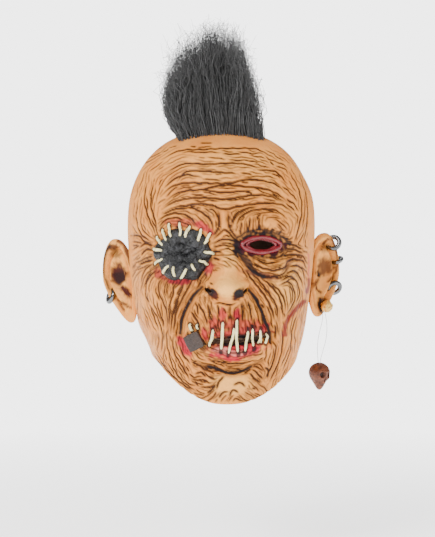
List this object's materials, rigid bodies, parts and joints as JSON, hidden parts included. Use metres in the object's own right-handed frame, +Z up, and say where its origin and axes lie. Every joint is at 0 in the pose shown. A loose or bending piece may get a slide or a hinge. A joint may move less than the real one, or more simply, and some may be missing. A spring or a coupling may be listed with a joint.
{
  "type": "punk latex mask",
  "caption": "Pull-over latex head mask of a wrinkled stitched punk face with a black mohawk, eye patch, mouth tag, ear rings, lobe stud and a small skull on a thread.",
  "frame": {"origin": "inside of the crown on the middle line, where the wearer's head sits", "axes": "+Z up through the crown, -Y out of the face, +X towards the ear with three rings"},
  "size_m": [0.2547, 0.2461, 0.3865],
  "materials": {
    "latex_skin": "satin",
    "black_patch": "satin",
    "brown_block": "matte",
    "ring_steel": "polished",
    "gold_nugget": "satin",
    "clear_nylon": "gloss",
    "dark_resin": "satin",
    "black_hair": "matte"
  },
  "bodies": {
    "root": {"mask_skin": "latex_skin", "eye_patch": "black_patch", "mouth_tag": "brown_block", "ear_ring_left": "ring_steel", "ear_ring_top": "ring_steel", "ear_ring_middle": "ring_steel", "ear_ring_low": "ring_steel", "ear_stud": "gold_nugget", "thread_loop": "clear_nylon", "skull_pendant": "dark_resin", "mohawk": "black_hair"}
  },
  "joints": []
}
